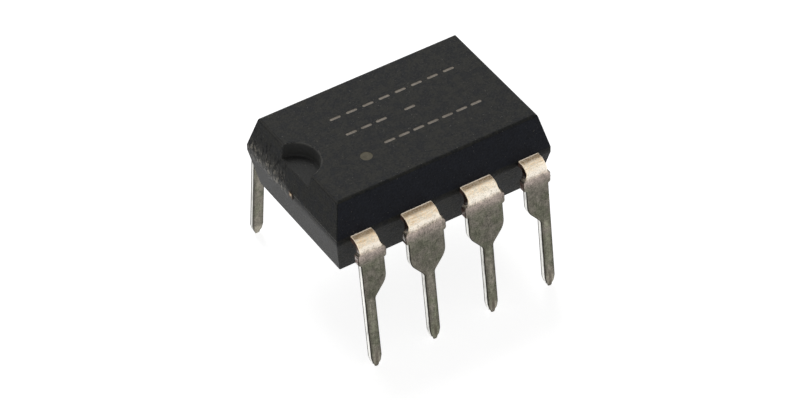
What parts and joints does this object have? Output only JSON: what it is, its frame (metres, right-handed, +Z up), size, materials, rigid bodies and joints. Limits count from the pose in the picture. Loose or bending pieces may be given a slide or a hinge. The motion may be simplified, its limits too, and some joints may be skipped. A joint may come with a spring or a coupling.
{
  "type": "dual in-line integrated circuit chip",
  "caption": "Small black plastic dual in-line chip with an end notch and rows of formed tin-plated leads, with its lead frame, die and bond wires inside.",
  "frame": {"origin": "middle of the footprint, level with the lead tips", "axes": "+X along the body from the notched end to the plain end, +Y from leads 1 to 4 towards leads 5 to 8, +Z up out of the marked face"},
  "size_m": [0.0092, 0.0088, 0.0071],
  "materials": {
    "moulding": "matte black glass-filled epoxy with a fine moulded grain",
    "tinned_lead": "dull tin plate over copper alloy, handled and slightly tarnished",
    "frame_copper": "bare stamped copper alloy",
    "die_glue": "silver-filled epoxy",
    "silicon": "polished silicon",
    "gold_wire": "drawn gold"
  },
  "bodies": {
    "root": {"body": "moulding", "lead_1": "tinned_lead", "lead_2": "tinned_lead", "lead_3": "tinned_lead", "lead_4": "tinned_lead", "lead_5": "tinned_lead", "lead_6": "tinned_lead", "lead_7": "tinned_lead", "lead_8": "tinned_lead", "die_paddle": "frame_copper", "die_attach": "die_glue", "die": "silicon", "bond_wire_1": "gold_wire", "bond_wire_2": "gold_wire", "bond_wire_3": "gold_wire", "bond_wire_4": "gold_wire", "bond_wire_5": "gold_wire", "bond_wire_6": "gold_wire", "bond_wire_7": "gold_wire", "bond_wire_8": "gold_wire"}
  },
  "joints": []
}
